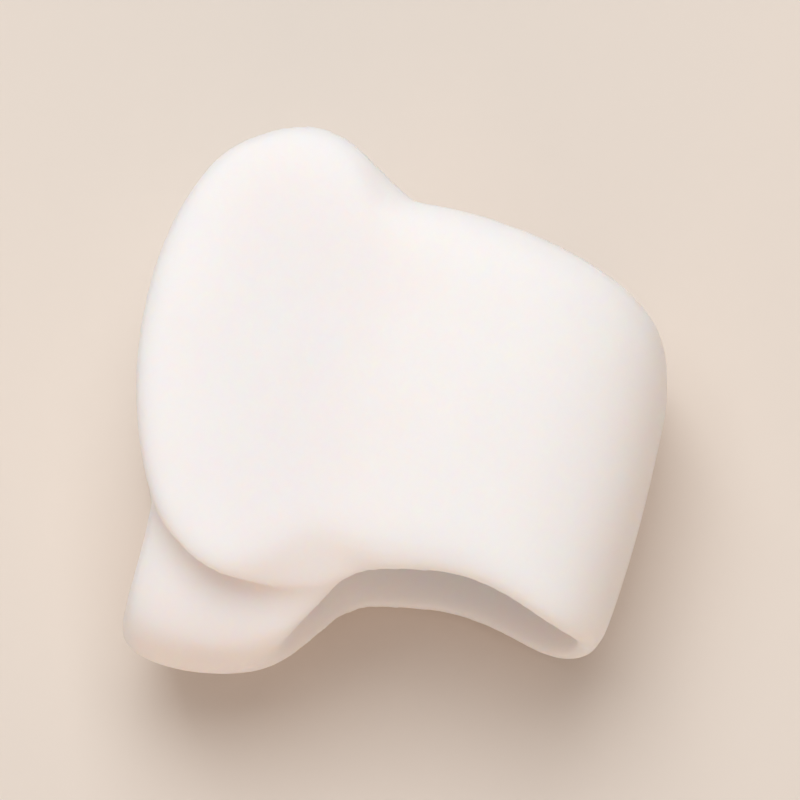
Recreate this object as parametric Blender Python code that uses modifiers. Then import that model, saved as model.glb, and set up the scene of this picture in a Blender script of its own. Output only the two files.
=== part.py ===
"""Soft gel toe separator: a loop, and beside it a spool-shaped spacer with two flanges and a tail.

It is moulded in one piece. +Y runs along the bore of the loop from its root end, where the band arches,
to its tip end, where the band is cut back. +X points from the spacer to the outer side of the loop, and
+Z is up from the flat face that it lies on. It is alike above and below its middle plane, so that one
shape serves the left and the right.

The form is a torus cage under a Subdivision Surface. The stations go round the loop, from the outer side
over the face to the spacer. Each is a closed row of cage points: down the outside from tip to root, round
the root end, up the wall of the loop, and round the tip end. The cage is worked out with the loop's
centre at the origin, and the finished part is set down with the middle of its underside there.
"""

import math

import bpy
from mathutils import Vector

MM = 0.001

# Loop: the opening, and the band round it
LOOP_WIDTH = 17.2 * MM
LOOP_HEIGHT = 15.0 * MM
LOOP_SQUARENESS = 2.6
BAND_WALL = 2.1 * MM
BAND_CORNER_RADIUS = 7.6 * MM
BAND_TIP_Y = 10.9 * MM
BAND_ROOT_Y = -13.5 * MM
TIP_EDGE_DROP = 6.4 * MM
ROOT_ARCH_RISE = 2.2 * MM
ROOT_ARCH_MIDDLE_X = 1.0 * MM
ROOT_ARCH_SHARPNESS = 4
SIDE_ROOT_LIFT = 0.6 * MM
NOTCH_ROOT_SLOPE = 2.6 * MM
OUTER_SIDE_TAPER = 1.0 * MM
FACE_EDGE_ROLL = 2.0 * MM
SIDE_EDGE_ROLL = 1.2 * MM

# Spacer: the core, and the egg-shaped flange on each face
CORE_THICKNESS = 9.6 * MM
FLANGE_WIDTH = 17.2 * MM
FLANGE_LENGTH = 29.4 * MM
FLANGE_MIDDLE_Y = -0.2 * MM
FLANGE_EGG = 0.10
NOTCH_FROM_AXIS = 4.3 * MM
FLANK_FROM_AXIS = 3.1 * MM
NOTCH_DIP = 0.5 * MM
LIP_THICKNESS = 1.9 * MM
LIP_ROLL = 0.6 * MM
LIP_BACK_INSET = 0.3 * MM
LIP_END_INSET = 0.9 * MM
LIP_END_DROP = 0.4 * MM
SADDLE_HALF_LENGTH = 9.0 * MM
TIP_VALLEY_DEPTH = 2.0 * MM
TIP_VALLEY_CURL = 0.8 * MM
CORE_EDGE_ROLL = 1.8 * MM

# Where the spacer's ends turn into the wall of the loop
NOTCH_END_RISE = 0.6 * MM
ROOT_END_STEP = 0.7 * MM
NOTCH_TIP_STEP = 1.8 * MM
SPACER_TIP_STEP = 0.9 * MM

# Groove behind the flange's root end, and the tail between the two grooves
GROOVE_INSET = 0.3 * MM
GROOVE_RISE = 1.8 * MM
GROOVE_DIP = 0.8 * MM
TAIL_LENGTH = 4.5 * MM
TAIL_HEIGHT = 11.0 * MM
TAIL_FLARE = 1.8 * MM
TAIL_CORNER = 0.9 * MM
TAIL_SIDE_CORNER = 0.3 * MM
TAIL_ROOT_RISE = 1.0 * MM
TAIL_WALL_STEP = 0.9 * MM
TAIL_WALL_RISE = 0.6 * MM
WALL_CROWDING = 3.0

# Stations of one half, counted from the outer side to the middle of the spacer
FACE_START, NOTCH = 3, 6
FLANK, AXIS, WING, LIP_FACE, LIP_BACK, GROOVE, SHOULDER, MIDDLE = range(NOTCH + 1, NOTCH + 9)

# Cage
STATIONS = 2 * MIDDLE
OUTSIDE_ROWS = 6
WALL_ROWS = 3
SECTION_POINTS = OUTSIDE_ROWS + WALL_ROWS + 4
SUBDIVISIONS = 2
LOOP_STEP = math.radians(21)
CORNER_ANGLES = [math.radians(20), math.radians(54), math.radians(90)]
FACE_SHARES = [0, 0.42, 0.84, 1]
FLANK_ANGLES = [math.radians(112), math.radians(-116)]
AXIS_ANGLE = math.radians(90)
WING_ANGLE = math.radians(74)
WING_BOW_ANGLE = math.radians(60)
WING_REACH = 0.55
LIP_ANGLE = math.radians(48)
LIP_END_ANGLE = math.radians(60)
SADDLE_BOW_ANGLE = math.radians(75)
SADDLE_HEIGHTS = [0.66, 0.40, 0.0]

# Places that follow from the sizes
HALF_LOOP_WIDTH = LOOP_WIDTH / 2
HALF_LOOP_HEIGHT = LOOP_HEIGHT / 2
OUTER_SIDE_X = HALF_LOOP_WIDTH + BAND_WALL
FACE_Z = HALF_LOOP_HEIGHT + BAND_WALL
LIP_MIDDLE_Z = FACE_Z - LIP_THICKNESS * 0.6
LIP_BACK_Z = FACE_Z - LIP_THICKNESS
SADDLE_X = -HALF_LOOP_WIDTH - CORE_THICKNESS
AXIS_X = -HALF_LOOP_WIDTH - CORE_THICKNESS / 2
FLANGE_HALF_WIDTH = FLANGE_WIDTH / 2
FLANGE_HALF_LENGTH = FLANGE_LENGTH / 2
FLANGE_ROOT_Y = FLANGE_MIDDLE_Y - FLANGE_HALF_LENGTH
TIP_VALLEY_Y = FLANGE_MIDDLE_Y + FLANGE_HALF_LENGTH - TIP_VALLEY_DEPTH
TAIL_Y = FLANGE_ROOT_Y - TAIL_LENGTH
HALF_TAIL_HEIGHT = TAIL_HEIGHT / 2


def blend(start, end, share):
    """The value that lies at the given share of the way from start to end."""
    return start + (end - start) * share


def spread(count):
    """Even steps from 1 at the tip to -1 at the root."""
    return [1 - 2 * step / (count - 1) for step in range(count)]


def swell(step):
    """How far out cage points stand on an arc, this angle apart, so that the smooth surface meets it."""
    return 3 / (2 + math.cos(step))


def closed_section(outside, root_end, wall, tip_end):
    """One station's cage points in order. Each end has two, first at the outside and then at the wall."""
    return outside + list(root_end) + wall + [tip_end[1], tip_end[0]]


def loop_wall(station):
    """Where the wall of the loop passes a station. The stations crowd away from the middle of the tail."""
    angle = LOOP_STEP * station
    if station >= NOTCH:
        share = (station - NOTCH + 1) / (MIDDLE - NOTCH + 1)
        crowded = share - WALL_CROWDING * share**3 * (1 - share)
        angle = blend(LOOP_STEP * (NOTCH - 1), math.pi, crowded)
    power = 2 / LOOP_SQUARENESS
    across = math.copysign(abs(math.cos(angle)) ** power, math.cos(angle))
    up = abs(math.sin(angle)) ** power
    return HALF_LOOP_WIDTH * swell(LOOP_STEP) * across, HALF_LOOP_HEIGHT * swell(LOOP_STEP) * up


def band_outside(station):
    """Where the outside of the band passes a station, seen along the toe."""
    corner_x = OUTER_SIDE_X - BAND_CORNER_RADIUS
    corner_z = FACE_Z - BAND_CORNER_RADIUS
    if station == 0:
        return OUTER_SIDE_X, 0.0
    if station < FACE_START:
        angle = CORNER_ANGLES[station - 1]
        radius = BAND_CORNER_RADIUS * swell(CORNER_ANGLES[1] - CORNER_ANGLES[0])
        return corner_x + radius * math.cos(angle), corner_z + radius * math.sin(angle)
    return blend(corner_x, AXIS_X + NOTCH_FROM_AXIS, FACE_SHARES[station - FACE_START]), FACE_Z


def tip_edge(x, z):
    """Where the band ends towards the tip: it falls away towards the outer side."""
    fallen = 1 - min(math.atan2(z, x) / math.radians(135), 0.95)
    return BAND_TIP_Y - TIP_EDGE_DROP * fallen**2


def root_edge(x, z):
    """Where the band ends towards the root: it arches over each face, and a little on the outer side."""
    height = min(z / HALF_LOOP_HEIGHT, 1)
    from_middle = (x - ROOT_ARCH_MIDDLE_X) / OUTER_SIDE_X
    arched = height * math.cos(from_middle * math.pi / 2) ** ROOT_ARCH_SHARPNESS
    lifted = (1 - height) * max(x, 0) / OUTER_SIDE_X
    return BAND_ROOT_Y + ROOT_ARCH_RISE * arched + SIDE_ROOT_LIFT * lifted


def band_section(station):
    """A station on the band: a flat-oval strip with rolled edges. Its outer side thins towards the root."""
    x, z = band_outside(station)
    wall_x, wall_z = loop_wall(station)
    tip = tip_edge(x, z)
    root = root_edge(x, z)
    wall_root = root_edge(wall_x, wall_z)
    middle = (tip + root) / 2
    sideways = max(x, 0) / OUTER_SIDE_X
    root_roll = blend(FACE_EDGE_ROLL, SIDE_EDGE_ROLL, sideways)
    corner_share = blend(0.75, 0.92, sideways)
    outside = []
    for step in spread(OUTSIDE_ROWS):
        end = tip - FACE_EDGE_ROLL if step > 0 else root + root_roll
        y = blend(middle, end, abs(step))
        taper = OUTER_SIDE_TAPER * sideways * max(y / root, 0) ** 2
        outside.append(Vector((x - taper, y, z)))
    taper = OUTER_SIDE_TAPER * sideways
    slope = NOTCH_ROOT_SLOPE * max(station - FACE_START, 0) / (NOTCH - FACE_START)
    outside[-1].y += slope / 2
    if station == NOTCH:
        tip -= NOTCH_DIP
    edge_x = x if station > FACE_START else blend(wall_x, x, 0.75)
    root_end = [
        Vector((blend(wall_x, x, corner_share) - taper, root + slope, blend(wall_z, z, corner_share))),
        Vector((blend(wall_x, x, 0.10) - taper, wall_root, blend(wall_z, z, 0.10))),
    ]
    tip_end = [
        Vector((edge_x, tip, blend(wall_z, z, 0.75))),
        Vector((blend(wall_x, x, 0.10), tip, blend(wall_z, z, 0.10))),
    ]
    wall = [Vector((wall_x, y, wall_z)) for y in (wall_root + root_roll, middle, tip - FACE_EDGE_ROLL)]
    return closed_section(outside, root_end, wall, tip_end)


def flange_edge(angle, inset=0.0, z=FACE_Z):
    """A point on the flange's egg-shaped edge, at an angle up from its outermost point."""
    along = math.sin(angle)
    across = math.cos(angle) * (1 + FLANGE_EGG * along)
    x = AXIS_X - (FLANGE_HALF_WIDTH - inset) * across
    y = FLANGE_MIDDLE_Y + (FLANGE_HALF_LENGTH - inset) * along
    return Vector((x, y, z))


def spacer_wall(station):
    """The wall of the loop beside the spacer, with the two end points that lead out of it."""
    x, z = loop_wall(station)
    inward = (station - NOTCH) / (MIDDLE - NOTCH)
    out_z = z + NOTCH_END_RISE * (1 - inward)
    root = blend(root_edge(*loop_wall(NOTCH)), TAIL_Y + TAIL_LENGTH / 2, inward)
    tip = blend(BAND_TIP_Y - NOTCH_DIP, TIP_VALLEY_Y, inward**2)
    wall = [Vector((x, y, z)) for y in (root + FACE_EDGE_ROLL, (root + tip) / 2, tip - CORE_EDGE_ROLL)]
    root_out = Vector((x - ROOT_END_STEP, root, out_z))
    tip_out = Vector((x - blend(NOTCH_TIP_STEP, SPACER_TIP_STEP, inward), tip, out_z))
    return wall, root_out, tip_out


def flank_row():
    """The flange's face beside the notch, and the row's two end points."""
    x = AXIS_X + FLANK_FROM_AXIS
    tip, root = (flange_edge(angle).y for angle in FLANK_ANGLES)
    middle, half_length = (tip + root) / 2, (tip - root) / 2
    reach = half_length - LIP_ROLL
    outside = [Vector((x, middle + reach * step, FACE_Z)) for step in spread(OUTSIDE_ROWS)]
    return outside, [Vector((x, y, LIP_MIDDLE_Z)) for y in (tip, root)]


def wing_row(angle, reach):
    """The flange's face on its axis or its wing, bowed out by the reach, and the row's two end points."""
    outside = []
    for step in spread(OUTSIDE_ROWS):
        x = AXIS_X - reach * math.cos(WING_BOW_ANGLE * step)
        outside.append(Vector((x, flange_edge(angle * step, LIP_ROLL).y, FACE_Z)))
    return outside, [flange_edge(angle * end, 0, LIP_MIDDLE_Z) for end in (1, -1)]


def lip_row(inset, z, end_inset, end_z):
    """The flange's lip, on its face or its back, and the row's two end points."""
    outside = [flange_edge(LIP_ANGLE * step, inset, z) for step in spread(OUTSIDE_ROWS)]
    return outside, [flange_edge(LIP_END_ANGLE * end, end_inset, end_z) for end in (1, -1)]


def flange_section(station):
    """A station on the flange: straight beside the notch, then fanned out to follow the egg-shaped edge."""
    wall, root_out, tip_out = spacer_wall(station)
    if station == FLANK:
        outside, ends = flank_row()
    elif station == AXIS:
        outside, ends = wing_row(AXIS_ANGLE, 0)
    elif station == WING:
        outside, ends = wing_row(WING_ANGLE, WING_REACH * FLANGE_HALF_WIDTH)
    elif station == LIP_FACE:
        outside, ends = lip_row(0, FACE_Z, 0, LIP_MIDDLE_Z)
    else:
        outside, ends = lip_row(LIP_BACK_INSET, LIP_BACK_Z, LIP_END_INSET, LIP_BACK_Z - LIP_END_DROP)
    return closed_section(outside, (ends[1], root_out), wall, (ends[0], tip_out))


def saddle_row(up):
    """The saddle's outside at a share of the half height. It sweeps out towards the flanges."""
    overhang = 1.1 * (FLANGE_HALF_WIDTH - CORE_THICKNESS / 2)
    outside = []
    for step in spread(OUTSIDE_ROWS):
        x = SADDLE_X - overhang * up**2 * math.cos(SADDLE_BOW_ANGLE * step)
        outside.append(Vector((x, FLANGE_MIDDLE_Y + SADDLE_HALF_LENGTH * step, FACE_Z * up)))
    return outside


def saddle_section(station):
    """A station on the saddle between the two flanges, which runs out into the tail."""
    wall, root_out, tip_out = spacer_wall(station)
    up = SADDLE_HEIGHTS[station - GROOVE]
    outside = saddle_row(up)
    z = FACE_Z * up
    tip_end = Vector((SADDLE_X + CORE_EDGE_ROLL, TIP_VALLEY_Y + TIP_VALLEY_CURL * up, z))
    if station == GROOVE:
        root_end = Vector((SADDLE_X + GROOVE_INSET, FLANGE_ROOT_Y + GROOVE_RISE, z))
        root_out.y -= GROOVE_DIP
    else:
        tail_z = HALF_TAIL_HEIGHT if station == SHOULDER else 0
        corner = TAIL_SIDE_CORNER if station == SHOULDER else TAIL_CORNER
        root_end = Vector((SADDLE_X - TAIL_FLARE - corner, TAIL_Y - corner, tail_z))
        wall_z = blend(wall[0].z, tail_z, 0.5)
        root_out = Vector((wall[0].x - TAIL_WALL_STEP, TAIL_Y + TAIL_WALL_RISE - corner / 2, wall_z))
        outside[-1].y = FLANGE_ROOT_Y + TAIL_ROOT_RISE
        outside[-1].z = (z + tail_z) / 2
    return closed_section(outside, (root_end, root_out), wall, (tip_end, tip_out))


def section(station):
    """The closed row of cage points at a station of the first half."""
    if station <= NOTCH:
        return band_section(station)
    if station <= LIP_BACK:
        return flange_section(station)
    return saddle_section(station)


def cage_points():
    """Every cage point, station by station. The second half of the ring mirrors the first."""
    points = []
    for count in range(STATIONS):
        side = 1 if count <= MIDDLE else -1
        points.extend(Vector((p.x, p.y, p.z * side)) for p in section(min(count, STATIONS - count)))
    return points


def gel_material():
    material = bpy.data.materials.new("silicone_gel")
    material.use_nodes = True
    shader = material.node_tree.nodes["Principled BSDF"]
    shader.inputs["Base Color"].default_value = (0.86, 0.84, 0.82, 1)
    shader.inputs["Roughness"].default_value = 0.38
    shader.inputs["Metallic"].default_value = 0
    return material


def set_down(part):
    """Moves the finished mesh so that the middle of its underside is at the origin."""
    places = [vertex.co.copy() for vertex in part.data.vertices]
    middle_x = (min(p.x for p in places) + max(p.x for p in places)) / 2
    middle_y = (min(p.y for p in places) + max(p.y for p in places)) / 2
    underside = Vector((middle_x, middle_y, min(p.z for p in places)))
    for vertex, place in zip(part.data.vertices, places):
        vertex.co = place - underside


def toe_separator(collection):
    bpy.ops.mesh.primitive_torus_add(major_segments=STATIONS, minor_segments=SECTION_POINTS)
    part = bpy.context.object
    part.name = "toe_separator"
    for vertex, place in zip(part.data.vertices, cage_points()):
        vertex.co = place
    part.data.materials.append(gel_material())
    for face in part.data.polygons:
        face.use_smooth = True
    smoothing = part.modifiers.new("Subdivision", "SUBSURF")
    smoothing.levels = SUBDIVISIONS
    smoothing.render_levels = SUBDIVISIONS
    bpy.ops.object.modifier_apply(modifier=smoothing.name)
    set_down(part)
    for owner in list(part.users_collection):
        owner.objects.unlink(part)
    collection.objects.link(part)
    return part


def main():
    for old in list(bpy.data.objects):
        bpy.data.objects.remove(old)
    collection = bpy.data.collections.new("toe_separator")
    bpy.context.scene.collection.children.link(collection)
    toe_separator(collection)


if __name__ == "__main__":
    main()
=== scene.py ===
"""Milky gel toe separator, moulded in one soft piece, lying on a pale studio floor."""

import math

import bpy
from mathutils import Matrix, Vector


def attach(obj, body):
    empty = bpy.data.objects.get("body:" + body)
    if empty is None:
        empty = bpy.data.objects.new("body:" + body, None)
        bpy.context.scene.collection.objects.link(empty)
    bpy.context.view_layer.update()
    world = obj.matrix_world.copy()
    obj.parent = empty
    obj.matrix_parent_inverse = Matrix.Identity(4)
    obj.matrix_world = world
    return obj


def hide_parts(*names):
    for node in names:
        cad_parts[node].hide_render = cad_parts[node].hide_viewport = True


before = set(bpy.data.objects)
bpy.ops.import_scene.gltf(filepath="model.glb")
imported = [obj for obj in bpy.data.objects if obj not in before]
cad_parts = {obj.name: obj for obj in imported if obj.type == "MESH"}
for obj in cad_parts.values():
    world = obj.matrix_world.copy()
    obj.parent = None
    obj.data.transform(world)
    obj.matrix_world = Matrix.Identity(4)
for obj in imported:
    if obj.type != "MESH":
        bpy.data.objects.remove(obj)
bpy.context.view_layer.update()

bl_info = {
    "name": "Gel Toe Separator",
    "version": (1, 0, 0),
    "blender": (4, 5, 0),
    "location": "3D View > Sidebar > Toe Separator",
    "description": "Moulds the soft gel toe separator and sets it on a pale studio floor",
    "category": "Object",
}

MM = 0.001
NODE = "toe_separator"
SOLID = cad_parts[NODE]
MIDDLE_Z = sum(corner[2] for corner in SOLID.bound_box) / 8

# The loop's bore runs along Y. A wall that faces its middle belongs to it within this reach.
BORE_X = 5.5 * MM
BORE_REACH = 10.5 * MM

# Corners of the solid's loose triangles that lie closer than this are welded into one.
WELD = 0.002 * MM
# A cut for the seam may move to a corner this near. The three cuts lie close, so it is tiny.
CUT_SNAP = 0.001 * MM
# Each smoothing pass takes off this share of the small steps that the even mesh leaves.
SMOOTH_SHARE = 0.5
SMOOTH_PASSES = 8

SILICONE_IOR = 1.41
# How far red, green and blue light travel in the gel, as shares of the scatter depth.
SCATTER_SHARES = (1.0, 0.75, 0.58)

PAPER_ROUGHNESS = 0.9
PAPER_SHEEN = 0.2
FIBRE_SIZE = 0.4 * MM
FIBRE_HEIGHT = 0.02 * MM
FIBRE_STRENGTH = 0.1
# In metres: the floor's radius, and how far from the part it begins and ends to fade into the
# backdrop.
FLOOR_RADIUS = 2.0
FADE_START = 0.10
FADE_END = 0.45

# Each soft box: its name, the way it stands (as shares of the picture's front, up and right), its
# distance and width in metres, its power in watts and its linear colour. The cool key stands over
# the face. The warm fill stands low before the root end and lights the walls there.
LAMPS = (
    ("key", (0.91, 0.40, -0.09), 0.60, 0.42, 2.5, (0.95, 0.98, 1.0)),
    ("fill", (0.22, -0.95, 0.08), 0.70, 0.50, 1.48, (1.0, 0.72, 0.54)),
)
# The room's own light, in linear colours.
CEILING = (0.98, 0.99, 1.0)
WALLS = (1.0, 0.78, 0.64)
ROOM_STRENGTH = 0.37

# The camera looks at a point this far from the part's middle, towards the loop's tip end. It
# draws nothing that is nearer to it than the clip start.
AIM_Y = 2.6 * MM
CLIP_START = 10 * MM


def linear(hex_colour):
    """An sRGB hex colour as linear red, green and blue."""
    channels = [int(hex_colour[i:i + 2], 16) / 255 for i in (0, 2, 4)]
    return tuple(c / 12.92 if c <= 0.04045 else ((c + 0.055) / 1.055) ** 2.4 for c in channels)


class GelSizes(bpy.types.PropertyGroup):
    """Sizes of the gel's surface, down to the mould's waves and seam"""
    grain: bpy.props.FloatProperty(
        name="Mesh grain", description="Edge length of the even mesh that carries the surface",
        default=0.25 * MM, unit="LENGTH")
    wave_length: bpy.props.FloatProperty(
        name="Wave length", description="Width of the slow waves that the gel keeps from its mould",
        default=7.0 * MM, unit="LENGTH")
    wave_height: bpy.props.FloatProperty(
        name="Wave height", description="Height of those waves",
        default=0.06 * MM, unit="LENGTH")
    seam_width: bpy.props.FloatProperty(
        name="Seam width", description="Width of the line where the mould's halves met",
        default=0.32 * MM, unit="LENGTH")
    seam_height: bpy.props.FloatProperty(
        name="Seam height", description="How far that line stands out",
        default=0.12 * MM, unit="LENGTH")


class GelFinish(bpy.types.PropertyGroup):
    """Colour, tooth and depth of the gel"""
    milk: bpy.props.FloatVectorProperty(
        name="Milk", description="Main colour of the gel",
        default=linear("F8F5F5"), subtype="COLOR", size=3)
    cream: bpy.props.FloatVectorProperty(
        name="Cream", description="Colour of the faint clouds in the gel",
        default=linear("F4EFEE"), subtype="COLOR", size=3)
    cloud_size: bpy.props.FloatProperty(
        name="Cloud size", description="Width of the faint clouds in the gel",
        default=9.0 * MM, unit="LENGTH")
    tooth_size: bpy.props.FloatProperty(
        name="Tooth size", description="Spacing of the fine satin tooth left by the blasted mould",
        default=0.30 * MM, unit="LENGTH")
    tooth_height: bpy.props.FloatProperty(
        name="Tooth height", description="Height of that tooth",
        default=0.03 * MM, unit="LENGTH")
    tooth_strength: bpy.props.FloatProperty(
        name="Tooth strength", description="How much of the tooth shows in the shading",
        default=0.25, min=0, max=1, subtype="FACTOR")
    smoothest: bpy.props.FloatProperty(
        name="Smoothest", description="Roughness between the points of the tooth",
        default=0.42, min=0, max=1, subtype="FACTOR")
    roughest: bpy.props.FloatProperty(
        name="Roughest", description="Roughness on the points of the tooth",
        default=0.54, min=0, max=1, subtype="FACTOR")
    scatter_depth: bpy.props.FloatProperty(
        name="Scatter depth", description="How far light travels inside the gel",
        default=2.8 * MM, unit="LENGTH")


class StageSizes(bpy.types.PropertyGroup):
    """Place of the camera, and colour of the paper"""
    distance: bpy.props.FloatProperty(
        name="Camera distance", description="From the camera to the middle of the part",
        default=433 * MM, unit="LENGTH")
    picture_width: bpy.props.FloatProperty(
        name="Picture width", description="What the picture takes in at the part",
        default=49.5 * MM, unit="LENGTH")
    tilt: bpy.props.FloatProperty(
        name="Tilt", description="How far the camera leans from straight above",
        default=math.radians(10), subtype="ANGLE")
    roll: bpy.props.FloatProperty(
        name="Roll", description="How far the part is turned in the picture",
        default=math.radians(12), subtype="ANGLE")
    paper: bpy.props.FloatVectorProperty(
        name="Paper", description="Colour of the paper floor and the backdrop",
        default=linear("EADFD4"), subtype="COLOR", size=3)


def edit_all(piece):
    """Makes the piece active and selects all of its mesh in edit mode."""
    bpy.ops.object.select_all(action="DESELECT")
    piece.select_set(True)
    bpy.context.view_layer.objects.active = piece
    bpy.ops.object.mode_set(mode="EDIT")
    bpy.ops.mesh.select_all(action="SELECT")


def finish_with(piece, kind, **settings):
    """Adds a modifier with its settings and applies it."""
    bpy.context.view_layer.objects.active = piece
    modifier = piece.modifiers.new(kind.title(), kind)
    for name, value in settings.items():
        setattr(modifier, name, value)
    bpy.ops.object.modifier_apply(modifier=modifier.name)


def add_node(owner, kind, links=(), **settings):
    """Adds a shader node, sets its sockets and properties, and links (output, socket) pairs to it.

    In a socket's name, an underscore stands for a space.
    """
    node = owner.node_tree.nodes.new(kind)
    for name, value in settings.items():
        socket = name.replace("_", " ")
        if socket in node.inputs:
            node.inputs[socket].default_value = value
        else:
            setattr(node, name, value)
    for output, socket in links:
        owner.node_tree.links.new(output, node.inputs[socket])
    return node


def silicone_gel(finish):
    """Platinum-cured silicone gel, filled white and cast in a fine-blasted mould.

    The white filler scatters light a few millimetres deep, which softens each shadow edge and
    warms thin walls. The blasted mould leaves a fine tooth, so highlights are broad and satin. The
    real tooth is too fine for the render, and is drawn as coarse as it needs to show.
    """
    material = bpy.data.materials.new("silicone_gel")
    material.use_nodes = True
    shader = material.node_tree.nodes["Principled BSDF"]
    place = add_node(material, "ShaderNodeTexCoord").outputs["Object"]
    clouds = add_node(
        material, "ShaderNodeTexNoise", [(place, "Vector")],
        Scale=1 / finish.cloud_size, Detail=3.0)
    tooth = add_node(
        material, "ShaderNodeTexNoise", [(place, "Vector")],
        Scale=1 / finish.tooth_size, Detail=2.0)
    colour = add_node(
        material, "ShaderNodeMix", [(clouds.outputs["Fac"], "Factor")],
        data_type="RGBA", A=(*finish.milk, 1), B=(*finish.cream, 1))
    rough = add_node(
        material, "ShaderNodeMapRange", [(tooth.outputs["Fac"], "Value")],
        To_Min=finish.smoothest, To_Max=finish.roughest)
    bump = add_node(
        material, "ShaderNodeBump", [(tooth.outputs["Fac"], "Height")],
        Strength=finish.tooth_strength, Distance=finish.tooth_height)
    links = material.node_tree.links
    links.new(colour.outputs["Result"], shader.inputs["Base Color"])
    links.new(rough.outputs["Result"], shader.inputs["Roughness"])
    links.new(bump.outputs["Normal"], shader.inputs["Normal"])
    shader.inputs["IOR"].default_value = SILICONE_IOR
    shader.inputs["Subsurface Weight"].default_value = 1.0
    shader.inputs["Subsurface Radius"].default_value = SCATTER_SHARES
    shader.inputs["Subsurface Scale"].default_value = finish.scatter_depth
    return material


def raise_seam(gel, sizes):
    """Raises the fine ridge where the halves of the mould met, all round but not in the bore."""
    half_width = sizes.seam_width / 2
    edit_all(gel)
    for side in (-1, 0, 1):
        bpy.ops.mesh.select_all(action="SELECT")
        bpy.ops.mesh.bisect(
            plane_co=(0, 0, MIDDLE_Z + side * half_width), plane_no=(0, 0, 1), threshold=CUT_SNAP)
    bpy.ops.object.mode_set(mode="OBJECT")
    for vertex in gel.data.vertices:
        share = 1 - abs(vertex.co.z - MIDDLE_Z) / half_width
        if share <= 0:
            continue
        faces_bore = vertex.normal.x * (BORE_X - vertex.co.x) > 0
        if faces_bore and abs(vertex.co.x - BORE_X) < BORE_REACH:
            share *= 1 - abs(vertex.normal.x)
        outward = Vector((vertex.normal.x, vertex.normal.y, 0))
        vertex.co += outward * sizes.seam_height * share


class MouldGel(bpy.types.Operator):
    """Moulds the gel separator: the loop, the spacer with its flanges, and the tail"""
    bl_idname = "object.mould_gel_separator"
    bl_label = "Mould the gel separator"

    def execute(self, context):
        sizes = context.scene.gel_sizes
        gel = bpy.data.objects.new("gel_separator", SOLID.data.copy())
        context.collection.objects.link(gel)
        edit_all(gel)
        bpy.ops.mesh.remove_doubles(threshold=WELD)
        bpy.ops.mesh.tris_convert_to_quads()
        bpy.ops.object.mode_set(mode="OBJECT")
        finish_with(gel, "SUBSURF", levels=1, render_levels=1)
        finish_with(gel, "REMESH", mode="VOXEL", voxel_size=sizes.grain)
        finish_with(gel, "SMOOTH", factor=SMOOTH_SHARE, iterations=SMOOTH_PASSES)
        waves = bpy.data.textures.new("gel_waves", "CLOUDS")
        waves.noise_scale = sizes.wave_length
        finish_with(
            gel, "DISPLACE", texture=waves, texture_coords="LOCAL", strength=sizes.wave_height)
        raise_seam(gel, sizes)
        gel.data.materials.clear()
        gel.data.materials.append(silicone_gel(context.scene.gel_finish))
        for face in gel.data.polygons:
            face.use_smooth = True
        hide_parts(NODE)
        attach(gel, "root")
        return {"FINISHED"}


def backdrop_rays(owner):
    """1 for the rays that show the backdrop: seen directly, mirrored or through something clear."""
    rays = add_node(owner, "ShaderNodeLightPath").outputs
    seen = rays["Is Camera Ray"]
    for other in ("Is Glossy Ray", "Is Transmission Ray"):
        most = add_node(
            owner, "ShaderNodeMath", [(seen, 0), (rays[other], 1)], operation="MAXIMUM")
        seen = most.outputs["Value"]
    return seen


def paper_floor(paper):
    """Uncoated beige studio paper, pressed but not glazed, so it is matt with a faint fibre relief.

    Far from the part it fades into the backdrop's own colour.
    """
    material = bpy.data.materials.new("paper_sweep")
    material.use_nodes = True
    shader = material.node_tree.nodes["Principled BSDF"]
    place = add_node(material, "ShaderNodeTexCoord").outputs["Object"]
    fibres = add_node(
        material, "ShaderNodeTexNoise", [(place, "Vector")], Scale=1 / FIBRE_SIZE, Detail=4.0)
    bump = add_node(
        material, "ShaderNodeBump", [(fibres.outputs["Fac"], "Height")],
        Strength=FIBRE_STRENGTH, Distance=FIBRE_HEIGHT)
    shader.inputs["Base Color"].default_value = (*paper, 1)
    shader.inputs["Roughness"].default_value = PAPER_ROUGHNESS
    shader.inputs["Specular IOR Level"].default_value = PAPER_SHEEN
    material.node_tree.links.new(bump.outputs["Normal"], shader.inputs["Normal"])
    far = add_node(material, "ShaderNodeVectorMath", [(place, "Vector")], operation="LENGTH")
    fade = add_node(
        material, "ShaderNodeMapRange", [(far.outputs["Value"], "Value")],
        interpolation_type="SMOOTHSTEP", From_Min=FADE_START, From_Max=FADE_END)
    seen = add_node(
        material, "ShaderNodeMath", [(fade.outputs["Result"], 0), (backdrop_rays(material), 1)],
        operation="MULTIPLY")
    backdrop = add_node(material, "ShaderNodeEmission", Color=(*paper, 1), Strength=1.0)
    mixed = add_node(
        material, "ShaderNodeMixShader",
        [(seen.outputs["Value"], 0), (shader.outputs["BSDF"], 1),
         (backdrop.outputs["Emission"], 2)])
    output = material.node_tree.nodes["Material Output"]
    material.node_tree.links.new(mixed.outputs["Shader"], output.inputs["Surface"])
    return material


def soft_lamp(name, toward, distance, size, power, colour):
    """A square soft box that stands in the given direction from the part and faces it."""
    data = bpy.data.lights.new(name, "AREA")
    data.size = size
    data.energy = power
    data.color = colour
    lamp = bpy.data.objects.new(name, data)
    bpy.context.scene.collection.objects.link(lamp)
    direction = Vector(toward).normalized()
    lamp.location = Vector((0, 0, MIDDLE_Z)) + direction * distance
    lamp.rotation_euler = direction.to_track_quat("Z", "Y").to_euler()


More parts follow.
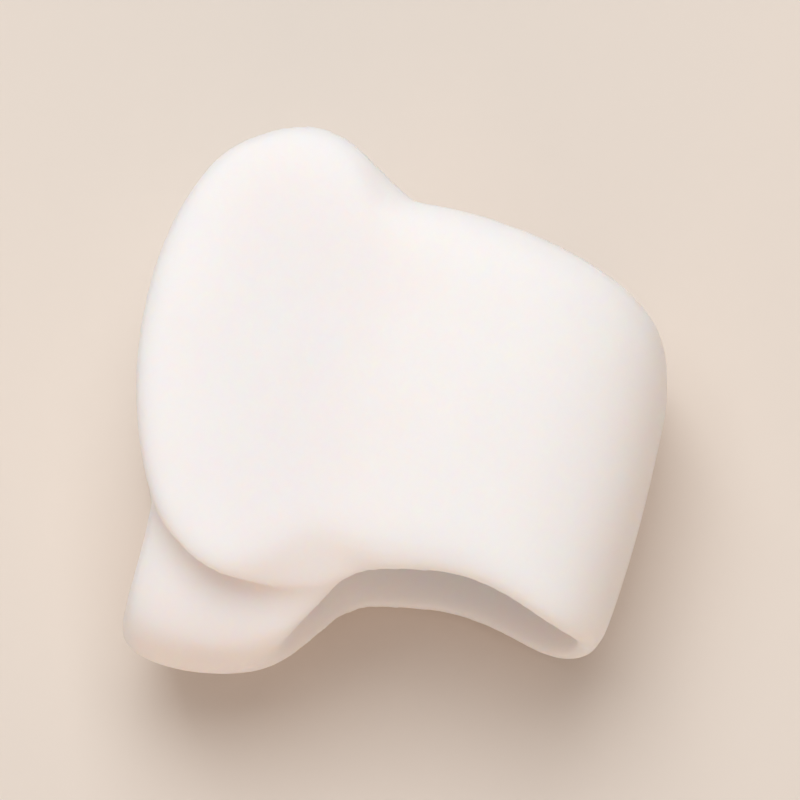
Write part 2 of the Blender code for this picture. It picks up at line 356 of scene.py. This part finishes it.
def studio_world(paper):
    """Cool light from the ceiling and warm light from the walls, seen as the paper's colour."""
    world = bpy.data.worlds.new("studio")
    bpy.context.scene.world = world
    world.use_nodes = True
    toward = add_node(world, "ShaderNodeTexCoord").outputs["Generated"]
    height = add_node(world, "ShaderNodeSeparateXYZ", [(toward, "Vector")]).outputs["Z"]
    room = add_node(
        world, "ShaderNodeMix", [(height, "Factor")],
        data_type="RGBA", A=(*WALLS, 1), B=(*CEILING, 1))
    light = world.node_tree.nodes["Background"]
    light.inputs["Strength"].default_value = ROOM_STRENGTH
    world.node_tree.links.new(room.outputs["Result"], light.inputs["Color"])
    backdrop = add_node(world, "ShaderNodeBackground", Color=(*paper, 1))
    mixed = add_node(
        world, "ShaderNodeMixShader",
        [(backdrop_rays(world), 0), (light.outputs["Background"], 1),
         (backdrop.outputs["Background"], 2)])
    output = world.node_tree.nodes["World Output"]
    world.node_tree.links.new(mixed.outputs["Shader"], output.inputs["Surface"])


def aim_camera(stage, front, up, right):
    """Stands the camera over the part, leaning towards the bottom of the picture."""
    camera = bpy.data.objects.new("camera", bpy.data.cameras.new("camera"))
    bpy.context.scene.collection.objects.link(camera)
    back = math.cos(stage.tilt) * front - math.sin(stage.tilt) * up
    above = math.cos(stage.tilt) * up + math.sin(stage.tilt) * front
    aim = Vector((0.0, AIM_Y, MIDDLE_Z))
    turned = Matrix((right, above, back)).transposed().to_4x4()
    camera.matrix_world = Matrix.Translation(aim + back * stage.distance) @ turned
    camera.data.lens = camera.data.sensor_width * stage.distance / stage.picture_width
    camera.data.clip_start = CLIP_START
    bpy.context.scene.camera = camera


class SetStage(bpy.types.Operator):
    """Sets the paper floor, the soft lamps and the camera above the part"""
    bl_idname = "scene.set_toe_separator_stage"
    bl_label = "Set the stage"

    def execute(self, context):
        stage = context.scene.stage_sizes
        bpy.ops.object.select_all(action="DESELECT")
        bpy.ops.mesh.primitive_circle_add(
            vertices=64, radius=FLOOR_RADIUS, fill_type="NGON", location=(0, 0, 0))
        floor = context.object
        floor.name = "paper_floor"
        floor.data.materials.append(paper_floor(stage.paper))
        # The picture's own directions: out of the floor, and up and right along it.
        front = Vector((0, 0, 1))
        right = Vector((math.cos(stage.roll), math.sin(stage.roll), 0))
        up = front.cross(right)
        for name, (forward, upward, rightward), *lamp in LAMPS:
            soft_lamp(name, front * forward + up * upward + right * rightward, *lamp)
        studio_world(stage.paper)
        aim_camera(stage, front, up, right)
        context.scene.view_settings.view_transform = "Standard"
        return {"FINISHED"}


# The groups of settings, by their name in the scene, and the steps in their order.
GROUPS = {"gel_sizes": GelSizes, "gel_finish": GelFinish, "stage_sizes": StageSizes}
STEPS = [MouldGel, SetStage]


class SeparatorPanel(bpy.types.Panel):
    """Sizes, colours and steps of the gel separator"""
    bl_idname = "VIEW3D_PT_gel_toe_separator"
    bl_label = "Gel Toe Separator"
    bl_space_type = "VIEW_3D"
    bl_region_type = "UI"
    bl_category = "Toe Separator"

    def draw(self, context):
        for group in GROUPS:
            box = self.layout.box()
            settings = getattr(context.scene, group)
            for name in settings.bl_rna.properties.keys():
                if name not in ("name", "rna_type"):
                    box.prop(settings, name)
        for step in STEPS:
            self.layout.operator(step.bl_idname)


def register():
    for kind in [*GROUPS.values(), *STEPS, SeparatorPanel]:
        bpy.utils.register_class(kind)
    for name, group in GROUPS.items():
        setattr(bpy.types.Scene, name, bpy.props.PointerProperty(type=group))


def unregister():
    for name in GROUPS:
        delattr(bpy.types.Scene, name)
    for kind in reversed([*GROUPS.values(), *STEPS, SeparatorPanel]):
        bpy.utils.unregister_class(kind)


def main():
    register()
    bpy.ops.object.mould_gel_separator()
    bpy.ops.scene.set_toe_separator_stage()


if __name__ == "__main__":
    main()
